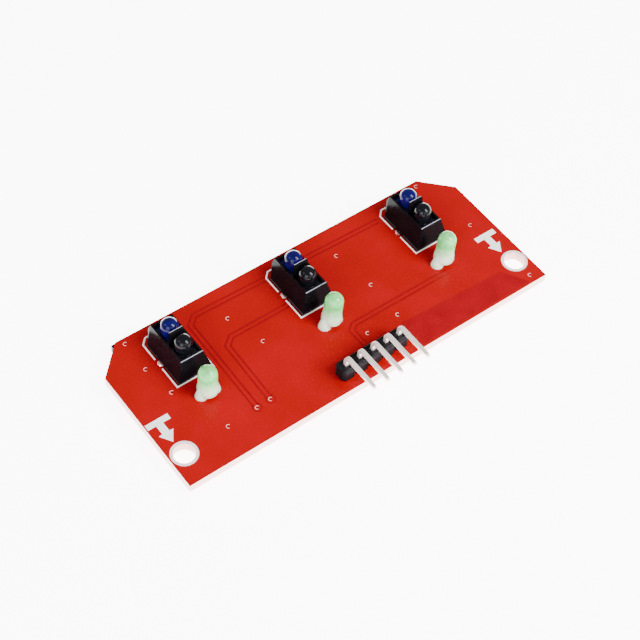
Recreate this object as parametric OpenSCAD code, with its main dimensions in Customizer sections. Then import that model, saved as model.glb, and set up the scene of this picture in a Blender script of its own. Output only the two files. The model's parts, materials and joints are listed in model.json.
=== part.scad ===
// Three-channel line follower sensor board: a red circuit board that carries three
// reflective infrared sensors, three indicator LEDs and a 5-way right-angle header.
// Millimetres. +Z is up and z = 0 is the board's component face. The origin is midway
// between the two mounting holes, +X runs along the sensor row, +Y from header to sensors.

/* [Board] */
// Board length along the sensor row
board_length = 68.6; // [66.6:0.1:80]
// Board width from the header edge to the sensor edge
board_width = 27.4; // [27.4:0.1:34]
// Board thickness
board_thickness = 1.6; // [1.2:0.1:2.0]
// Size of the 45 degree corners on the sensor edge
corner_cut = 4.75; // [2:0.05:5]
// Distance between the two mounting hole centres
hole_spacing = 63.8; // [60:0.1:63.8]
// Distance from the header edge to the mounting hole centres
hole_edge_distance = 5.0; // [4.5:0.1:6]
// Mounting hole radius, for an M3 screw
hole_radius = 1.7; // [1.6:0.05:1.8]
// Outer radius of the metal ring round each mounting hole
land_radius = 2.15; // [2.0:0.05:2.4]
// Thickness of the metal rings
land_thickness = 0.05; // [0.04:0.01:0.1]

/* [Reflective sensors] */
// Distance from one sensor to the next
sensor_pitch = 23.0; // [20:0.1:24]
// Distance of the sensor row from the line of the mounting holes
sensor_y = 15.3; // [15:0.1:16]
// Housing width at the board
housing_base_width = 6.0; // [5.4:0.1:6.2]
// Housing length at the board
housing_base_length = 10.0; // [9.6:0.1:10.4]
// Housing width at the rim
housing_top_width = 3.9; // [3.8:0.1:4.6]
// Housing length at the rim
housing_top_length = 8.3; // [8.2:0.1:9]
// Height of the upright foot of the housing, below the sloping sides
housing_foot = 0.6; // [0.4:0.1:2]
// Height of the rim above the board
rim_height = 4.2; // [4.0:0.1:5]
// Height of the light barrier above the board
barrier_height = 6.1; // [5.4:0.1:6.4]
// Length of the raised part of the light barrier, across the housing
barrier_length = 2.3; // [2.0:0.1:3]
// Thickness of the light barrier
barrier_thickness = 0.5; // [0.4:0.1:0.6]
// Width of each cell in the housing
cell_width = 3.3; // [3.2:0.1:3.4]
// Length of each cell in the housing
cell_length = 3.5; // [3.3:0.05:3.55]
// Thickness of the housing floor
housing_floor = 1.0; // [0.8:0.1:1.4]
// Distance of each dome from the middle of the housing
dome_offset = 1.85; // [1.7:0.05:2.0]
// Dome radius
dome_radius = 1.45; // [1.3:0.05:1.5]
// Height of the dome centre above the board
dome_height = 5.0; // [4.7:0.1:5.2]
// Size of the cut upright corners on the sensor-edge side of the housing
housing_corner = 1.4; // [0.8:0.1:1.4]
// Radius of the two clip holes beside each sensor
clip_hole_radius = 0.7; // [0.65:0.05:0.75]
// Distance of the clip holes from the middle of the sensor
clip_hole_offset = 2.75; // [2.6:0.05:2.8]

/* [Indicator LEDs] */
// Radius of the LED body and dome
led_radius = 1.5; // [1.4:0.05:1.55]
// Radius of the LED flange
led_flange_radius = 1.65; // [1.6:0.05:1.75]
// Height of the dome centre above the board
led_dome_height = 4.7; // [4.2:0.1:5.2]
// Height of the underside of the flange above the board
led_standoff = 0.7; // [0.4:0.1:1.0]
// Flange thickness
led_flange_thickness = 0.9; // [0.7:0.1:1.1]
// Height of the sloping skirt above the flange
led_skirt = 0.8; // [0.5:0.1:1.2]

/* [Header] */
// Distance from one pin to the next
pin_pitch = 2.54; // [2.54:0.01:2.54]
// Thickness of the square pins
pin_size = 0.64; // [0.6:0.01:0.66]
// Position of the middle pin along the board
header_x = 0.95; // [-6:0.05:6]
// Distance of the pin row from the line of the mounting holes, towards the header edge
header_back = 2.05; // [1.8:0.05:2.9]
// Height of the insulator block
block_height = 2.5; // [2.3:0.1:2.7]
// Height of the forward part of the pins above the board
pin_height = 4.3; // [4.0:0.1:4.6]
// Reach of the pin tips beyond the board edge
pin_reach = 4.0; // [3:0.05:6]

/* [Trimmers] */
// Side of the square trimmer base
trimmer_size = 3.2; // [3.1:0.1:3.6]
// Height of the trimmer base
trimmer_height = 1.5; // [1.4:0.1:1.8]
// Radius of the trimmer rotor disc
rotor_radius = 1.22; // [1.18:0.01:1.25]
// Gap all round the rotor
rotor_gap = 0.06; // [0.04:0.01:0.08]

/* [Hidden] */

red = [0.80, 0.02, 0.04];
black = [0.05, 0.05, 0.06];
metal = [0.78, 0.78, 0.76];
solder = [0.66, 0.67, 0.69];
blue = [0.08, 0.10, 0.75];
green = [0.66, 0.86, 0.68];
white = [0.88, 0.87, 0.83];

$fn = 48;
overcut = 1;                                  // how far cutters pass the faces they cut
half_length = board_length / 2;
front_edge = -hole_edge_distance;
rear_edge = board_width - hole_edge_distance;
underside = -board_thickness;
tail_end = underside - 1.4;                   // lowest point of every soldered lead

sensor_x = [-sensor_pitch, 0, sensor_pitch];
lead_size = 0.5;
lead_hole_radius = 0.45;
lead_half_pitch = 1.27;
sensor_lead_y = 2.54;
cell_middle = barrier_thickness / 2 + cell_length / 2;
lens_gap = 0.05;
lens_block_top = 3.6;
peg_offset = clip_hole_offset - 0.25;
peg_radius = 0.4;

led_spot = [[-sensor_pitch - 0.1, 6.9], [-0.1, 6.9], [sensor_pitch - 0.8, 6.5]];
led_lean = [[0, 0], [-4, 7], [-4, 6]];        // degrees about X, then about Y
foot_offset = 1.15;                           // resin feet round the two leads
foot_base_radius = 1.12;
foot_top_radius = 0.45;
foot_drop = 0.3;                              // below the board's face, before they are cut level
foot_rise = 2.2;
foot_gap = 0.02;
post_top = 3.6;

pin_count = 5;
pin_y = -header_back;
pin_hole_radius = 0.5;
bend_radius = 0.75;                           // to the middle of the pin

trimmer_spot = [-5.2, 21.7];                  // from the sensor's x, and from the hole line
rotor_top = 0.45;                             // depth of the rotor pocket's roof below the board
rotor_lip = 0.2;                              // thickness of the lip that keeps the rotor in
rotor_boss_radius = 1.0;
terminal_thickness = 0.3;

chip_spot = [-11.4, 12.4];
chip_size = [8.65, 3.9, 1.45];
chip_gap = 0.12;
chip_pitch = 1.27;
chip_lead_width = 0.42;
chip_lead_thickness = 0.22;

resistor_size = [2.0, 1.25, 0.5];
capacitor_size = [2.0, 1.25, 0.9];
cap_length = 0.4;
cap_wall = 0.06;
resistor_spots = [for (x = sensor_x) each [[x + 5.6, 18.2], [x + 5.6, 14.6], [x + 5.2, 6.6]]];
capacitor_spots = [[-11.4, 5.8], [12.0, 2.0]];

// ---------- board ----------

module board_outline() {
    polygon([[-half_length, front_edge], [half_length, front_edge],
        [half_length, rear_edge - corner_cut], [half_length - corner_cut, rear_edge],
        [corner_cut - half_length, rear_edge], [-half_length, rear_edge - corner_cut]]);
}

module drill(spot, radius) {
    translate([spot[0], spot[1], underside - overcut])
        cylinder(r = radius, h = board_thickness + 2 * overcut);
}

module circuit_board() {
    color(red) difference() {
        translate([0, 0, underside]) linear_extrude(board_thickness) board_outline();
        for (side = [-1, 1]) drill([side * hole_spacing / 2, 0], hole_radius);
        for (x = sensor_x, side = [-1, 1]) {
            drill([x + side * clip_hole_offset, sensor_y], clip_hole_radius);
            for (end = [-1, 1])
                drill([x + side * lead_half_pitch, sensor_y + end * sensor_lead_y], lead_hole_radius);
        }
        for (spot = led_spot, side = [-1, 1])
            drill([spot[0] + side * lead_half_pitch, spot[1]], lead_hole_radius);
        for (i = [0 : pin_count - 1]) drill([pin_x(i), pin_y], pin_hole_radius);
    }
}

module land_ring() {
    difference() {
        cylinder(r = land_radius, h = land_thickness);
        translate([0, 0, -overcut]) cylinder(r = hole_radius, h = land_thickness + 2 * overcut);
    }
}

module hole_lands() {
    color(metal) for (side = [-1, 1], z = [0, underside - land_thickness])
        translate([side * hole_spacing / 2, 0, z]) land_ring();
}

// ---------- reflective sensors ----------

// Outline of the housing across one direction: upright foot, then sloping sides.
module housing_profile(base, top) {
    polygon([[-base / 2, 0], [base / 2, 0], [base / 2, housing_foot],
        [top / 2, rim_height], [-top / 2, rim_height], [-base / 2, housing_foot]]);
}

module housing_plan() {
    w = housing_base_width / 2;
    l = housing_base_length / 2;
    polygon([[-w, -l], [w, -l], [w, l - housing_corner], [w - housing_corner, l],
        [housing_corner - w, l], [-w, l - housing_corner]]);
}

module housing_outside() {
    intersection() {
        rotate([90, 0, 0]) linear_extrude(housing_base_length + overcut, center = true)
            housing_profile(housing_base_width, housing_top_width);
        rotate([90, 0, 90]) linear_extrude(housing_base_width + overcut, center = true)
            housing_profile(housing_base_length, housing_top_length);
        linear_extrude(rim_height) housing_plan();
    }
}

// Peg that snaps through the board, with its barb below the board turned inwards.
module snap_peg() {
    barb_top = underside - 0.05;
    barb_width = 0.6;
    translate([peg_offset, 0, barb_top - 0.7]) cylinder(r = peg_radius, h = 1 - barb_top);
    translate([0, barb_width / 2, 0]) rotate([90, 0, 0]) linear_extrude(barb_width)
        polygon([[peg_offset, barb_top], [peg_offset - 0.8, barb_top],
            [peg_offset - 0.3, barb_top - 0.7], [peg_offset, barb_top - 0.7]]);
}

module sensor_housing(i) {
    color(black) translate([sensor_x[i], sensor_y, 0]) {
        difference() {
            housing_outside();
            for (end = [-1, 1])
                translate([-cell_width / 2, end * cell_middle - cell_length / 2, housing_floor])
                    cube([cell_width, cell_length, rim_height]);
            for (side = [-1, 1], end = [-1, 1])
                translate([side * lead_half_pitch, end * sensor_lead_y, -overcut])
                    cylinder(r = lead_hole_radius, h = housing_floor + 2 * overcut);
        }
        translate([-barrier_length / 2, -barrier_thickness / 2, housing_floor])
            cube([barrier_length, barrier_thickness, barrier_height - housing_floor]);
        snap_peg();
        mirror([1, 0, 0]) snap_peg();
    }
}

// Moulded block that fills a cell and carries a dome, for the emitter and for the detector.
module sensor_lens() {
    width = cell_width - 2 * lens_gap;
    length = cell_length - 2 * lens_gap;
    translate([-width / 2, cell_middle - length / 2, housing_floor])
        cube([width, length, lens_block_top - housing_floor]);
    translate([0, dome_offset, lens_block_top - 0.5])
        cylinder(r = dome_radius, h = dome_height - lens_block_top + 0.5);
    translate([0, dome_offset, dome_height]) sphere(r = dome_radius);
}

module sensor_emitter(i) {
    color(blue) translate([sensor_x[i], sensor_y, 0]) sensor_lens();
}

module sensor_detector(i) {
    color(black) translate([sensor_x[i], sensor_y, 0]) mirror([0, 1, 0]) sensor_lens();
}

module sensor_leads(i) {
    color(metal) translate([sensor_x[i], sensor_y, 0]) for (side = [-1, 1], end = [-1, 1])
        translate([side * lead_half_pitch - lead_size / 2, end * sensor_lead_y - lead_size / 2, tail_end])
            cube([lead_size, lead_size, housing_floor - tail_end]);
}

// ---------- indicator LEDs ----------

module lean(i) {
    translate([led_spot[i][0], led_spot[i][1], 0]) rotate([led_lean[i][0], led_lean[i][1], 0]) children();
}

module led_outside() {
    translate([0, 0, led_dome_height]) sphere(r = led_radius);
    translate([0, 0, led_standoff]) cylinder(r = led_radius, h = led_dome_height - led_standoff);
    translate([0, 0, led_standoff]) cylinder(r = led_flange_radius, h = led_flange_thickness);
    translate([0, 0, led_standoff + led_flange_thickness])
        cylinder(r1 = led_flange_radius, r2 = led_radius, h = led_skirt);
    for (side = [-1, 1]) translate([side * foot_offset, 0, -foot_drop])
        cylinder(r1 = foot_base_radius, r2 = foot_top_radius, h = foot_drop + foot_rise);
}

// Everything below the level at which the resin feet end, just above the board.
module below_feet(i) {
    reach = 4;
    translate([led_spot[i][0] - reach, led_spot[i][1] - reach, -reach])
        cube([2 * reach, 2 * reach, reach + foot_gap]);
}

// Thin post with a sloping top inside the resin.
module anode_inside() {
    translate([lead_half_pitch - lead_size / 2, -lead_size / 2, 0])
        cube([lead_size, lead_size, 2.0]);
    translate([0.45, -lead_size / 2, 1.6]) cube([lead_half_pitch + lead_size / 2 - 0.45, lead_size, 0.4]);
    translate([0.45, -lead_size / 2, 1.6]) cube([0.35, lead_size, post_top - 1.6]);
}

// Wide anvil that carries the reflector cup.
module cathode_inside() {
    translate([-lead_half_pitch - lead_size / 2, -lead_size / 2, 0])
        cube([lead_size, lead_size, 2.0]);
    translate([0, lead_size / 2, 0]) rotate([90, 0, 0]) linear_extrude(lead_size)
        polygon([[-lead_half_pitch - lead_size / 2, 1.6], [-0.35, 1.6], [0.05, 3.1], [0.05, 3.3],
            [-0.95, 3.3], [-0.95, 2.6]]);
    translate([-0.45, 0, 3.2]) difference() {
        cylinder(r = 0.5, h = 0.4);
        translate([0, 0, 0.12]) cylinder(r1 = 0.2, r2 = 0.42, h = 0.4);
    }
}

module led_lens(i) {
    color(green) difference() {
        lean(i) led_outside();
        lean(i) anode_inside();
        lean(i) cathode_inside();
        for (side = [-1, 1]) led_tail(i, side);
        below_feet(i);
    }
}

// The straight lead from the board up to the leaning body.
module led_tail(i, side) {
    translate([led_spot[i][0] + side * lead_half_pitch, led_spot[i][1], 0])
        translate([-lead_size / 2, -lead_size / 2, tail_end])
            cube([lead_size, lead_size, -tail_end + 0.25]);
}

module led_anode(i) {
    color(metal) {
        lean(i) anode_inside();
        led_tail(i, 1);
    }
}

module led_cathode(i) {
    color(metal) {
        lean(i) cathode_inside();
        led_tail(i, -1);
    }
}

// ---------- header ----------

function pin_x(i) = header_x + (i - (pin_count - 1) / 2) * pin_pitch;

module block_segment() {
    h = pin_pitch / 2;
    c = 0.45;
    linear_extrude(block_height)
        polygon([[-h, c - h], [c - h, -h], [h - c, -h], [h, c - h],
            [h, h - c], [h - c, h], [c - h, h], [-h, h - c]]);
}

module block_crown(i) {
    h = pin_pitch / 2;
    c = 0.35;
    translate([0, h, 0]) rotate([90, 0, 0]) linear_extrude(pin_pitch)
        polygon([[-h, 0], [h, 0], [h, block_height - c], [h - c, block_height],
            [c - h, block_height], [-h, block_height - c]]);
}

module header_block() {
    color(black) difference() {
        for (i = [0 : pin_count - 1]) translate([pin_x(i), pin_y, 0]) intersection() {
            block_segment();
            block_crown();
            rotate([0, 0, 90]) block_crown();
        }
        for (i = [0 : pin_count - 1]) translate([pin_x(i), pin_y, 0])
            translate([-pin_size / 2, -pin_size / 2, -overcut])
                cube([pin_size, pin_size, block_height + 2 * overcut]);
    }
}

module header_pin(i) {
    half = pin_size / 2;
    tip = 0.35;
    slim = 0.2;
    run = pin_reach + hole_edge_distance - header_back - bend_radius;
    color(metal) translate([pin_x(i), pin_y, 0]) {
        translate([-half, -half, tail_end])
            cube([pin_size, pin_size, pin_height - bend_radius - tail_end]);
        translate([0, -bend_radius, pin_height - bend_radius]) rotate([90, 0, 90])
            rotate_extrude(angle = 90) translate([bend_radius - half, -half])
                square(pin_size);
        translate([0, -bend_radius, pin_height]) intersection() {
            rotate([90, 0, 90]) linear_extrude(pin_size, center = true)
                polygon([[0, -half], [0, half], [tip - run, half], [-run, slim], [-run, -slim], [tip - run, -half]]);
            linear_extrude(pin_size, center = true)
                polygon([[-half, 0], [half, 0], [half, tip - run], [slim, -run], [-slim, -run], [-half, tip - run]]);
        }
    }
}

// ---------- parts under the board ----------

module comparator_body() {
    chamfer = 0.35;
    color(black) translate([chip_spot[0], chip_spot[1], underside - chip_gap - chip_size[2]]) difference() {
        translate([-chip_size[0] / 2, -chip_size[1] / 2, 0]) cube(chip_size);
        translate([-chip_size[0] / 2 - overcut, -chip_size[1] / 2 - chamfer, -chamfer])
            rotate([45, 0, 0]) cube([chip_size[0] + 2 * overcut, chamfer * 2, chamfer * 2]);
        translate([chip_size[0] / 2 - 0.8, 1.1, -overcut]) cylinder(r = 0.35, h = overcut + 0.1);
    }
}

// Gull-wing lead in its own plane: out of the body, down to the board, flat foot.
module chip_lead_profile() {
    t = chip_lead_thickness;
    top = chip_gap + chip_size[2] / 2;
    polygon([[0, top - t / 2], [0.45, top - t / 2], [0.6, 0], [1.1, 0], [1.1, t], [0.75, t],
        [0.6, top + t / 2], [0, top + t / 2]]);
}

module comparator_leads() {
    color(metal) translate([chip_spot[0], chip_spot[1], underside]) for (side = [0, 1], i = [-3 : 3])
        rotate([0, 0, side * 180]) translate([i * chip_pitch, chip_size[1] / 2, 0]) mirror([0, 0, 1])
            rotate([90, 0, 90]) linear_extrude(chip_lead_width, center = true) chip_lead_profile();
}

module at_trimmer(i) {
    translate([sensor_x[i] + trimmer_spot[0], trimmer_spot[1], underside]) children();
}

module trimmer_base(i) {
    depth = trimmer_height - rotor_top - rotor_lip;
    color(black) at_trimmer(i) difference() {
        translate([-trimmer_size / 2, -trimmer_size / 2, -trimmer_height])
            cube([trimmer_size, trimmer_size, trimmer_height]);
        translate([0, 0, -rotor_top - depth]) cylinder(r = rotor_radius + rotor_gap, h = depth);
        translate([0, 0, -trimmer_height - overcut])
            cylinder(r = rotor_boss_radius + rotor_gap, h = overcut + rotor_lip + 0.01);
    }
}

module trimmer_rotor(i) {
    slot = 0.36;
    slot_length = 1.5;
    slot_depth = 0.4;
    low = -trimmer_height;
    color(white) at_trimmer(i) difference() {
        union() {
            translate([0, 0, low + rotor_lip + rotor_gap])
                cylinder(r = rotor_radius, h = trimmer_height - rotor_top - rotor_lip - 2 * rotor_gap);
            translate([0, 0, low]) cylinder(r = rotor_boss_radius, h = rotor_lip + 2 * rotor_gap);
        }
        translate([-slot / 2, -slot_length / 2, low - overcut]) cube([slot, slot_length, slot_depth + overcut]);
        translate([-slot_length / 2, -slot / 2, low - overcut]) cube([slot_length, slot, slot_depth + overcut]);
    }
}

module trimmer_terminals(i) {
    width = 0.8;
    rise = 1.0;
    half = trimmer_size / 2;
    color(metal) at_trimmer(i) {
        for (side = [-1, 1]) translate([half, side * 0.95 - width / 2, -rise])
            cube([terminal_thickness, width, rise]);
        translate([-half - terminal_thickness, -width / 2, -rise]) cube([terminal_thickness, width, rise]);
    }
}

module chip_core(spot, size) {
    translate([spot[0] - size[0] / 2 + cap_wall, spot[1] - size[1] / 2 + cap_wall, underside - size[2] + cap_wall])
        cube([size[0] - 2 * cap_wall, size[1] - 2 * cap_wall, size[2] - 2 * cap_wall]);
}

module chip_caps(spot, size) {
    difference() {
        for (end = [0, 1])
            translate([spot[0] - size[0] / 2 + end * (size[0] - cap_length), spot[1] - size[1] / 2, underside - size[2]])
                cube([cap_length, size[1], size[2]]);
        chip_core(spot, size);
    }
}

module resistor_bodies() {
    color(black) for (spot = resistor_spots) chip_core(spot, resistor_size);
}

module resistor_caps() {
    color(solder) for (spot = resistor_spots) chip_caps(spot, resistor_size);
}

module capacitor_bodies() {
    color([0.62, 0.50, 0.36]) for (spot = capacitor_spots) chip_core(spot, capacitor_size);
}

module capacitor_caps() {
    color(solder) for (spot = capacitor_spots) chip_caps(spot, capacitor_size);
}

// Cone of solder round one square lead.
module joint(spot, size) {
    height = 0.9;
    translate([spot[0], spot[1], underside - height]) difference() {
        cylinder(r1 = size * 0.72, r2 = 0.85, h = height);
        translate([-size / 2, -size / 2, -overcut]) cube([size, size, height + 2 * overcut]);
    }
}

module solder_sensors() {
    color(solder) for (x = sensor_x, side = [-1, 1], end = [-1, 1])
        joint([x + side * lead_half_pitch, sensor_y + end * sensor_lead_y], lead_size);
}

module solder_leds() {
    color(solder) for (spot = led_spot, side = [-1, 1])
        joint([spot[0] + side * lead_half_pitch, spot[1]], lead_size);
}

module solder_header() {
    color(solder) for (i = [0 : pin_count - 1]) joint([pin_x(i), pin_y], pin_size);
}

circuit_board();
hole_lands();
sensor_housing(0);  // sensor_1_housing
sensor_emitter(0);  // sensor_1_emitter
sensor_detector(0);  // sensor_1_detector
sensor_leads(0);  // sensor_1_leads
sensor_housing(1);  // sensor_2_housing
sensor_emitter(1);  // sensor_2_emitter
sensor_detector(1);  // sensor_2_detector
sensor_leads(1);  // sensor_2_leads
sensor_housing(2);  // sensor_3_housing
sensor_emitter(2);  // sensor_3_emitter
sensor_detector(2);  // sensor_3_detector
sensor_leads(2);  // sensor_3_leads
led_lens(0);  // led_1_lens
led_anode(0);  // led_1_anode
led_cathode(0);  // led_1_cathode
led_lens(1);  // led_2_lens
led_anode(1);  // led_2_anode
led_cathode(1);  // led_2_cathode
led_lens(2);  // led_3_lens
led_anode(2);  // led_3_anode
led_cathode(2);  // led_3_cathode
header_block();
header_pin(0);  // header_pin_1
header_pin(1);  // header_pin_2
header_pin(2);  // header_pin_3
header_pin(3);  // header_pin_4
header_pin(4);  // header_pin_5
comparator_body();
comparator_leads();
trimmer_base(0);  // trimmer_1_base
trimmer_terminals(0);  // trimmer_1_terminals
trimmer_rotor(0);  // trimmer_1_rotor
trimmer_base(1);  // trimmer_2_base
trimmer_terminals(1);  // trimmer_2_terminals
trimmer_rotor(1);  // trimmer_2_rotor
trimmer_base(2);  // trimmer_3_base
trimmer_terminals(2);  // trimmer_3_terminals
trimmer_rotor(2);  // trimmer_3_rotor
resistor_bodies();
resistor_caps();
capacitor_bodies();
capacitor_caps();
solder_sensors();
solder_leds();
solder_header();
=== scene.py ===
"""Looks for the three-channel line follower sensor board.

Everything is in metres and in the CAD model's frame: the origin is midway between the two
mounting holes on the component face, +X runs along the row of sensors, +Y from the header to
the sensors and +Z out of the component face. Outlines are written in millimetres.
"""

import math

import bmesh
import bpy
from mathutils import Matrix, Vector
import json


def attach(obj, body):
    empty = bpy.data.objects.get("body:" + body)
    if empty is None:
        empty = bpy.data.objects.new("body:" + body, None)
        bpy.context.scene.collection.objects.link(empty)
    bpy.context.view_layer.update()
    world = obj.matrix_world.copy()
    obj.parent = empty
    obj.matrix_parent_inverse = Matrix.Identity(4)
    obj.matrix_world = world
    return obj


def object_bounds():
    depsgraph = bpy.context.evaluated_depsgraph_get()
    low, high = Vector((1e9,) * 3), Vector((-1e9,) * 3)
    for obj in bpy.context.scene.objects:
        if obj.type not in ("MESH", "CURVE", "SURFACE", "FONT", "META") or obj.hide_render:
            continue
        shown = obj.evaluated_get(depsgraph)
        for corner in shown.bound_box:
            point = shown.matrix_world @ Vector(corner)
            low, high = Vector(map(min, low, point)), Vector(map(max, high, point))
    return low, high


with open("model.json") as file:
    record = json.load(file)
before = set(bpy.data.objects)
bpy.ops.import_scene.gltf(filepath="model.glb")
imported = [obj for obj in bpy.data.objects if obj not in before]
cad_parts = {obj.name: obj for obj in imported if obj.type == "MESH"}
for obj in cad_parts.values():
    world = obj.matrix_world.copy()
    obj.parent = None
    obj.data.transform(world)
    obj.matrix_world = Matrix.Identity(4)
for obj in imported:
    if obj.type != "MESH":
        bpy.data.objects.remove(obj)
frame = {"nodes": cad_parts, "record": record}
first_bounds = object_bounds()
nodes = frame["nodes"]

MM = 0.001
BOARD = "board"                     # the body that every printed feature rides on
BOARD_FACE = 0.0                    # height of the component face
BOARD_THICKNESS = 1.6
CHANNELS = (1, 2, 3)
SENSOR_X = (-23.0, 0.0, 23.0)
SENSOR_Y = 15.3
# The housings' painted edge highlights run along these edges.
BARRIER_TOP, BARRIER_BACK = 6.1, 15.55      # top and far face of a housing's light barrier
RIM_TOP, RIM_NEAR = 4.2, 11.15              # top and near edge of a housing's rim
LED_FOOT, LED_CROWN = 1.4, 4.2              # where the LED resin starts and ends turning green


# ---------- materials ----------

class Graph:
    """A new material, with helpers that add nodes to it."""

    def __init__(self, name):
        self.mat = bpy.data.materials.new(name)
        self.mat.use_nodes = True
        self.tree = self.mat.node_tree
        self.bsdf = self.tree.nodes["Principled BSDF"]
        self.place = self.add("ShaderNodeTexCoord").outputs["Object"]

    def add(self, kind, **settings):
        node = self.tree.nodes.new(kind)
        for key, value in settings.items():
            setattr(node, key, value)
        return node

    def link(self, out, to):
        self.tree.links.new(out, to)

    def axes(self):
        """The place on the object, as separate X, Y and Z outputs."""
        split = self.add("ShaderNodeSeparateXYZ")
        self.link(self.place, split.inputs["Vector"])
        return split.outputs

    def noise(self, size_mm, detail=3.0, rough=0.55):
        node = self.add("ShaderNodeTexNoise")
        node.inputs["Scale"].default_value = 1.0 / (size_mm * MM)
        node.inputs["Detail"].default_value = detail
        node.inputs["Roughness"].default_value = rough
        self.link(self.place, node.inputs["Vector"])
        return node.outputs["Fac"]

    def span(self, source, low, high, start=0.3, end=0.7):
        """Maps start..end of a source to low..high, and holds it beyond."""
        node = self.add("ShaderNodeMapRange")
        limits = {"From Min": start, "From Max": end, "To Min": low, "To Max": high}
        for key, value in limits.items():
            node.inputs[key].default_value = value
        self.link(source, node.inputs["Value"])
        return node.outputs["Result"]

    def combine(self, operation, a, b):
        node = self.add("ShaderNodeMath", operation=operation)
        self.link(a, node.inputs[0])
        self.link(b, node.inputs[1])
        return node.outputs["Value"]

    def blend(self, factor, a, b):
        """Mixes two colours, each a plain colour or another node's output."""
        node = self.add("ShaderNodeMix", data_type="RGBA")
        colours = [s for s in node.inputs if s.type == "RGBA"]
        for socket, value in zip(colours, (a, b)):
            if isinstance(value, tuple):
                socket.default_value = (*value, 1.0)
            else:
                self.link(value, socket)
        self.link(factor, node.inputs["Factor"])
        return [s for s in node.outputs if s.type == "RGBA"][0]

    def colour(self, source):
        self.link(source, self.bsdf.inputs["Base Color"])

    def gloss(self, source, low, high):
        self.link(self.span(source, low, high), self.bsdf.inputs["Roughness"])

    def bump(self, source, height_mm, strength):
        node = self.add("ShaderNodeBump")
        node.inputs["Strength"].default_value = strength
        node.inputs["Distance"].default_value = height_mm * MM
        self.link(source, node.inputs["Height"])
        self.link(node.outputs["Normal"], self.bsdf.inputs["Normal"])

    def set(self, **values):
        for key, value in values.items():
            self.bsdf.inputs[key.replace("_", " ")].default_value = value


def finish_graph(name, dark, light, rough, grain_mm, metal, shine, edge=None):
    """Mottled colour, uneven gloss and fine relief. edge paints a second colour where it says;
    the housings use it for painted edge highlights.
    """
    g = Graph(name)
    coarse = g.noise(grain_mm * 4)
    fine = g.noise(grain_mm * 0.35, 5.0)
    colour = g.blend(g.span(coarse, 0.0, 1.0), dark, light)
    if edge:
        colour = edge(g, colour)
    g.colour(colour)
    g.gloss(fine, *rough)
    g.bump(fine, height_mm=0.004, strength=0.35)
    g.set(Metallic=metal, Specular_IOR_Level=shine)
    return g.mat


def surface(name, dark, light, rough, grain_mm=0.8, metal=0.0, shine=0.5):
    """A moulded, plated or printed finish."""
    return finish_graph(name, dark, light, rough, grain_mm, metal, shine)


def painted_edge_highlights(g, plain):
    """Painted highlight: a pale line on a housing, along the barrier's top edge and the rim's
    near edge, where the edge bevels would catch light.
    """
    place = g.axes()
    barrier = g.combine(
        "MULTIPLY",
        g.span(place["Z"], 0.0, 1.0, (BARRIER_TOP - 0.12) * MM, (BARRIER_TOP - 0.06) * MM),
        g.span(place["Y"], 0.0, 1.0, (BARRIER_BACK - 0.15) * MM, (BARRIER_BACK - 0.09) * MM))
    rim = g.combine(
        "MULTIPLY",
        g.span(place["Z"], 0.0, 1.0, (RIM_TOP - 0.10) * MM, (RIM_TOP - 0.05) * MM),
        g.span(place["Y"], 1.0, 0.0, (RIM_NEAR + 0.06) * MM, (RIM_NEAR + 0.12) * MM))
    # Painted highlight colour for the edge lines.
    return g.blend(g.combine("MAXIMUM", barrier, rim), plain, (0.26, 0.27, 0.33))


def housing_material():
    """Polished black moulding with painted edge highlights."""
    return finish_graph("housing_black", (0.0015, 0.0015, 0.002), (0.004, 0.0035, 0.005),
                        (0.10, 0.18), grain_mm=0.8, metal=0.0, shine=0.10, edge=painted_edge_highlights)


def mask_material():
    """Red solder mask on both faces; pale glass fibre laminate on every cut edge."""
    g = Graph("board_red")
    height = g.axes()["Z"]
    below = (BOARD_FACE - BOARD_THICKNESS) * MM
    top = g.span(height, 0.0, 1.0, (BOARD_FACE - 0.05) * MM, (BOARD_FACE - 0.03) * MM)
    bottom = g.span(height, 1.0, 0.0, below + 0.03 * MM, below + 0.05 * MM)
    red = g.blend(g.span(g.noise(9.0), 0.0, 1.0), (0.25, 0.000, 0.001), (0.30, 0.000, 0.002))
    layers = g.add("ShaderNodeTexWave", bands_direction="Z")
    layers.inputs["Scale"].default_value = 1.0 / (1.9 * MM)
    layers.inputs["Distortion"].default_value = 2.0
    g.link(g.place, layers.inputs["Vector"])
    laminate = g.blend(layers.outputs["Fac"], (0.72, 0.42, 0.40), (0.82, 0.56, 0.52))
    g.colour(g.blend(g.combine("MAXIMUM", top, bottom), laminate, red))
    g.gloss(g.noise(0.5, 4.0), 0.20, 0.30)
    g.bump(g.noise(1.2, 3.0), height_mm=0.004, strength=0.25)
    g.set(Specular_IOR_Level=0.12)
    return g.mat


def led_material():
    """Milky resin, greener in the dome and whiter towards the flange."""
    g = Graph("led_green")
    upward = g.span(g.axes()["Z"], 0.0, 1.0, LED_FOOT * MM, LED_CROWN * MM)
    cloud = g.span(g.noise(1.1, 4.0), 0.0, 1.0)
    crown = g.blend(cloud, (0.08, 0.46, 0.12), (0.22, 0.68, 0.22))
    skirt = g.blend(cloud, (0.72, 0.98, 0.62), (0.90, 1.00, 0.82))
    g.colour(g.blend(upward, skirt, crown))
    g.gloss(g.noise(0.5, 4.0), 0.10, 0.20)
    g.bump(g.noise(0.8, 2.0), height_mm=0.02, strength=0.3)
    g.set(IOR=1.5, Transmission_Weight=0.12, Subsurface_Weight=0.5,
          Subsurface_Scale=0.8 * MM, Subsurface_Radius=(0.8, 1.0, 0.8))
    return g.mat


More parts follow.
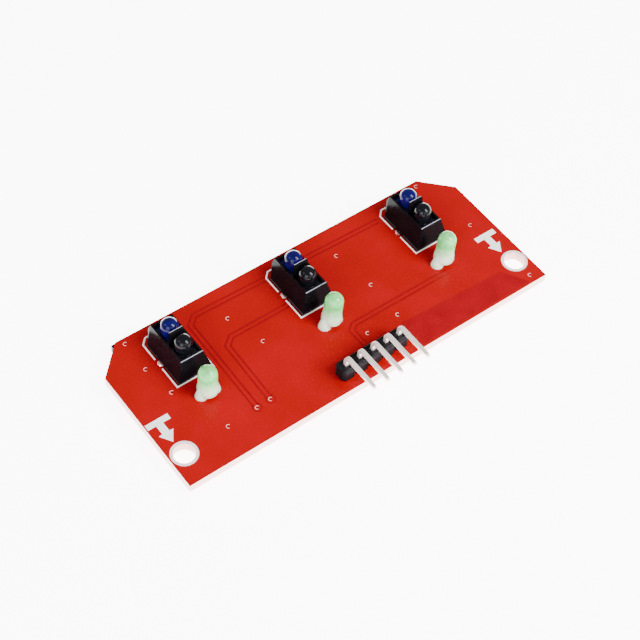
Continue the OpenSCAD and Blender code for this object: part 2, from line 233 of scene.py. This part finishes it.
def glowing_paper():
    """Top of a light table: bright round the board, dim further out and soonest on the left."""
    bright, dim = 8.0, 0.4
    fade_start, fade_end = 0.0951, 0.150        # metres from the middle of the paper
    left_start, left_end = 0.055, 0.075         # the same on the left
    unfaded = 0.095                             # a distance just short of the fade
    g = Graph("floor_paper")
    tone = g.blend(g.span(g.noise(60.0), 0.0, 1.0), (0.98, 0.98, 0.98), (1.0, 1.0, 1.0))
    g.link(tone, g.bsdf.inputs["Emission Color"])
    g.colour(tone)
    distance = g.add("ShaderNodeVectorMath", operation="LENGTH")
    g.link(g.place, distance.inputs[0])
    leftward = g.add("ShaderNodeVectorMath", operation="DOT_PRODUCT")
    g.link(g.place, leftward.inputs[0])
    leftward.inputs[1].default_value = (-0.867, 0.5, 0.0)
    beyond = g.span(leftward.outputs["Value"], unfaded, fade_end, left_start, left_end)
    furthest = g.combine("MAXIMUM", distance.outputs["Value"], beyond)
    glow = g.span(furthest, bright, dim, fade_start, fade_end)
    g.link(glow, g.bsdf.inputs["Emission Strength"])
    g.set(Roughness=0.8, Specular_IOR_Level=0.1)
    return g.mat


MATERIALS = {
    "board_red": mask_material(),
    "tinned_metal": surface("tinned_metal", (0.84, 0.82, 0.80), (0.95, 0.93, 0.91),
                            (0.34, 0.50), metal=1.0),
    "pin_metal": surface("pin_metal", (0.96, 0.80, 0.75), (1.00, 0.90, 0.86),
                         (0.34, 0.48), metal=0.75),
    "housing_black": housing_material(),
    "detector_black": surface("detector_black", (0.001, 0.001, 0.002), (0.004, 0.004, 0.006),
                              (0.05, 0.09), shine=0.14),
    "emitter_blue": surface("emitter_blue", (0.001, 0.0, 0.022), (0.004, 0.001, 0.085),
                            (0.05, 0.09), grain_mm=0.5, shine=0.14),
    "led_green": led_material(),
    "header_black": surface("header_black", (0.003, 0.003, 0.004), (0.010, 0.009, 0.011),
                            (0.26, 0.40), shine=0.05),
    "chip_black": surface("chip_black", (0.012, 0.012, 0.013), (0.028, 0.028, 0.030),
                          (0.45, 0.62)),
    "rotor_white": surface("rotor_white", (0.74, 0.73, 0.69), (0.86, 0.85, 0.82), (0.35, 0.5)),
    "solder": surface("solder", (0.52, 0.53, 0.55), (0.70, 0.71, 0.73), (0.16, 0.32),
                      grain_mm=0.5, metal=1.0),
    "capacitor_tan": surface("capacitor_tan", (0.42, 0.30, 0.19), (0.56, 0.43, 0.29),
                             (0.40, 0.55)),
}
LAND = surface("hole_land", (0.90, 0.72, 0.70), (0.98, 0.82, 0.80), (0.35, 0.5), metal=0.25)
INK = surface("white_ink", (0.86, 0.80, 0.80), (0.95, 0.92, 0.92), (0.4, 0.55), grain_mm=0.4)
TRACK = surface("track_edge", (0.165, 0.000, 0.002), (0.195, 0.000, 0.003), (0.22, 0.34),
                shine=0.12)
BAND = surface("dark_band", (0.20, 0.000, 0.003), (0.25, 0.000, 0.004), (0.24, 0.34),
               shine=0.12)
# Pale pink of the via rings: painted glint on the raised tented ring.
VIA_GLINT = surface("tented_ring_glint", (0.72, 0.26, 0.24), (0.86, 0.40, 0.36), (0.25, 0.4), shine=0.1)


def dress(obj, material):
    obj.data.materials.clear()
    obj.data.materials.append(material)


for part in frame["record"]["subparts"]:
    dress(nodes[part["node"]], MATERIALS[part["material_slot"]])
dress(nodes["hole_lands"], LAND)


# ---------- softened edges ----------

BEVELS = {"header_block": 0.09, "comparator_body": 0.05}        # widths in mm
BEVELS.update({f"header_pin_{n}": 0.05 for n in range(1, 6)})
for n in CHANNELS:
    BEVELS[f"sensor_{n}_housing"] = 0.10
    BEVELS[f"sensor_{n}_emitter"] = 0.12
    BEVELS[f"sensor_{n}_detector"] = 0.12
    BEVELS[f"led_{n}_lens"] = 0.12
    BEVELS[f"trimmer_{n}_base"] = 0.08

SAME_POINT = 0.0005                 # vertices this close, in mm, become one
SHARP = math.radians(35)            # an edge that turns more than this is softened

for name, width in BEVELS.items():
    weld = nodes[name].modifiers.new("weld", "WELD")
    weld.merge_threshold = SAME_POINT * MM
    bevel = nodes[name].modifiers.new("soft_edges", "BEVEL")
    bevel.width = width * MM
    bevel.segments = 2
    bevel.limit_method = "ANGLE"
    bevel.angle_limit = SHARP
    bevel.harden_normals = True


# ---------- shapes for thin printed and etched features, in mm ----------

MITRE_LIMIT = 0.35                  # keeps a sharp corner's mitre short


def new_mesh(name, bm, material):
    mesh = bpy.data.meshes.new(name)
    bmesh.ops.recalc_face_normals(bm, faces=bm.faces)
    bm.to_mesh(mesh)
    bm.free()
    obj = bpy.data.objects.new(name, mesh)
    bpy.context.scene.collection.objects.link(obj)
    dress(obj, material)
    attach(obj, BOARD)
    return obj


def slab(bm, points, height, base=BOARD_FACE):
    """A flat polygon, raised from base to base + height."""
    low = [bm.verts.new((x * MM, y * MM, base * MM)) for x, y in points]
    high = [bm.verts.new((x * MM, y * MM, (base + height) * MM)) for x, y in points]
    bm.faces.new(high)
    bm.faces.new(low[::-1])
    count = len(points)
    for i in range(count):
        j = (i + 1) % count
        bm.faces.new((low[i], low[j], high[j], high[i]))


def offsets(path, width):
    """The left and right sides of a mitred line of this width."""
    points = [Vector(p) for p in path]
    left, right = [], []
    for i, point in enumerate(points):
        ahead = (points[i + 1] - point).normalized() if i < len(points) - 1 else None
        behind = (point - points[i - 1]).normalized() if i > 0 else ahead
        ahead = ahead if ahead is not None else behind
        normal = Vector((-behind.y - ahead.y, behind.x + ahead.x)).normalized()
        reach = width / 2 / max(MITRE_LIMIT, normal.dot(Vector((-behind.y, behind.x))))
        left.append(point + normal * reach)
        right.append(point - normal * reach)
    return left, right


def line(bm, path, width, height):
    left, right = offsets(path, width)
    for i in range(len(path) - 1):
        slab(bm, [left[i], right[i], right[i + 1], left[i + 1]], height)


def arc(cx, cy, radius, start, end, steps=24):
    angles = [math.radians(start + (end - start) * i / steps) for i in range(steps + 1)]
    return [(cx + radius * math.cos(a), cy + radius * math.sin(a)) for a in angles]


def ring_part(bm, cx, cy, inner, outer, start, end, height):
    line(bm, arc(cx, cy, (inner + outer) / 2, start, end), outer - inner, height)


# ---------- printed outlines ----------

# Round each sensor, open at the clip holes and cut at the two far corners.
INK_LINE, INK_HEIGHT = 0.24, 0.02
OUTLINE_HALF, OUTLINE_NEAR, OUTLINE_FAR = 3.3, SENSOR_Y - 5.1, SENSOR_Y + 5.3
OUTLINE_CUT, CLIP_GAP = 1.0, 1.0

bm = bmesh.new()
for x in SENSOR_X:
    left, right = x - OUTLINE_HALF, x + OUTLINE_HALF
    line(bm, [(left, SENSOR_Y - CLIP_GAP), (left, OUTLINE_NEAR),
              (right, OUTLINE_NEAR), (right, SENSOR_Y - CLIP_GAP)], INK_LINE, INK_HEIGHT)
    line(bm, [(right, SENSOR_Y + CLIP_GAP), (right, OUTLINE_FAR - OUTLINE_CUT),
              (right - OUTLINE_CUT, OUTLINE_FAR), (left + OUTLINE_CUT, OUTLINE_FAR),
              (left, OUTLINE_FAR - OUTLINE_CUT), (left, SENSOR_Y + CLIP_GAP)],
         INK_LINE, INK_HEIGHT)
new_mesh("sensor_outlines", bm, INK)


# ---------- tracks, vias and a plain band ----------

# A track shows as the etched gap on each side of it, and a via as an open ring round a plug;
# the raised ring is real, and its pale colour and open shape are a painted glint.
TRACKS = [
    [(18.8, 19.1), (-16.7, 19.9), (-18.3, 18.6), (-18.6, 0.9)],
    [(-3.6, 13.4), (-14.3, 13.4), (-15.8, 12.2), (-16.1, 1.0)],
    [(21.6, 4.5), (2.7, 4.6), (1.7, 3.8), (1.8, -1.0)],
]
TRACK_WIDTH, TRACK_GAP, GAP_HEIGHT = 0.80, 0.28, 0.006
TRACK_ENDS = [(-18.6, 0.5), (-16.1, 0.6)]
END_INNER, END_OUTER, END_FROM, END_TO = 0.62, 0.80, 130, 410     # gap round a track's end
VIAS = TRACK_ENDS + [
    (-28.4, 21.3), (-28.4, 15.6), (-27.5, 9.9), (-12.8, 16.5), (-10.8, 9.9),
    (8.7, 17.0), (9.7, 9.2), (9.5, 2.2), (3.4, 2.0), (-24.0, 0.2),
    (30.9, 9.8), (32.1, -3.6), (28.8, 21.4),
]
# The raised open ring round each via carries a painted glint from VIA_FROM to VIA_TO degrees.
VIA_INNER, VIA_OUTER, VIA_FROM, VIA_TO, VIA_HEIGHT = 0.26, 0.37, 20, 260, 0.02
PLUG_RADIUS, PLUG_HEIGHT = 0.20, 0.008

bm = bmesh.new()
for path in TRACKS:
    for side in offsets(path, TRACK_WIDTH):
        line(bm, side, TRACK_GAP, GAP_HEIGHT)
for cx, cy in TRACK_ENDS:
    ring_part(bm, cx, cy, END_INNER, END_OUTER, END_FROM, END_TO, GAP_HEIGHT)
new_mesh("track_gaps", bm, TRACK)

glint_rings, plugs = bmesh.new(), bmesh.new()
for cx, cy in VIAS:
    ring_part(glint_rings, cx, cy, VIA_INNER, VIA_OUTER, VIA_FROM, VIA_TO, VIA_HEIGHT)
    slab(plugs, arc(cx, cy, PLUG_RADIUS, 0, 345, steps=15), PLUG_HEIGHT)
new_mesh("via_rings_glint", glint_rings, VIA_GLINT)
new_mesh("via_plugs", plugs, TRACK)

BAND_OUTLINE, BAND_HEIGHT = [(8.8, -4.6), (31.2, -4.6), (28.6, -0.4), (8.8, 0.6)], 0.004
bm = bmesh.new()
slab(bm, BAND_OUTLINE, BAND_HEIGHT)
new_mesh("plain_band", bm, BAND)


# ---------- a plain arrow with a bar, pointing at each mounting hole ----------

ARROW_X = (-32.1, 31.4)
BAR = [(-1.97, 6.2), (1.97, 6.2), (1.97, 7.2), (-1.97, 7.2)]
ARROW = [(-0.6, 6.2), (-0.6, 4.5), (-1.25, 4.5), (0.0, 2.6),
         (1.25, 4.5), (0.6, 4.5), (0.6, 6.2)]

bm = bmesh.new()
for cx in ARROW_X:
    for outline in (BAR, ARROW):
        slab(bm, [(cx + x, y) for x, y in outline], INK_HEIGHT)
new_mesh("hole_arrows", bm, INK)


# ---------- stage ----------

FLOOR_SIZE, FLOOR_DROP = 6.0, 0.00002
PAPER_MIDDLE = (0.007, 0.017)
bpy.ops.mesh.primitive_plane_add(
    size=FLOOR_SIZE, location=(*PAPER_MIDDLE, first_bounds[0].z - FLOOR_DROP))
floor = bpy.context.object
floor.name = "floor"
floor.data.materials.append(glowing_paper())

LAMPS = [  # name, place and size in metres, power in watts; each one faces the origin
    ("softbox_key", (0.19, -0.30, 0.37), (0.20, 0.34), 5.5),
    ("softbox_front", (0.10, -0.52, 0.26), (0.70, 0.40), 2.4),
    ("softbox_fill", (-0.46, -0.30, 0.26), (0.40, 0.40), 4.0),
    ("kicker", (-0.34, 0.16, 0.30), (0.08, 0.08), 0.35),
]
for name, place, size, power in LAMPS:
    data = bpy.data.lights.new(name, "AREA")
    data.shape = "RECTANGLE"
    data.size, data.size_y = size
    data.energy = power
    lamp = bpy.data.objects.new(name, data)
    lamp.location = place
    lamp.rotation_euler = (-Vector(place)).to_track_quat("-Z", "Y").to_euler()
    bpy.context.scene.collection.objects.link(lamp)

SKY_STRENGTH = 0.70
world = bpy.data.worlds.new("studio")
world.use_nodes = True
sky = world.node_tree.nodes["Background"]
sky.inputs["Color"].default_value = (1.0, 1.0, 1.0, 1.0)
sky.inputs["Strength"].default_value = SKY_STRENGTH
bpy.context.scene.world = world


# ---------- camera ----------

CAMERA_PLACE, CAMERA_TARGET = (-94.59, -98.17, 187.73), (-1.184, 8.213, 0.0)    # mm
CAMERA_ROLL = 5.53                                                              # degrees
LENS, SENSOR_WIDTH = 85.27, 36.0                                                # mm

data = bpy.data.cameras.new("main_camera")
data.lens = LENS
data.sensor_width = SENSOR_WIDTH
data.clip_start = 0.01
data.clip_end = 20.0
camera = bpy.data.objects.new("main_camera", data)
position, target = Vector(CAMERA_PLACE) * MM, Vector(CAMERA_TARGET) * MM
turn = (target - position).to_track_quat("-Z", "Y").to_matrix().to_4x4()
roll = Matrix.Rotation(math.radians(CAMERA_ROLL), 4, "Z")
camera.matrix_world = Matrix.Translation(position) @ turn @ roll
bpy.context.scene.collection.objects.link(camera)
bpy.context.scene.camera = camera
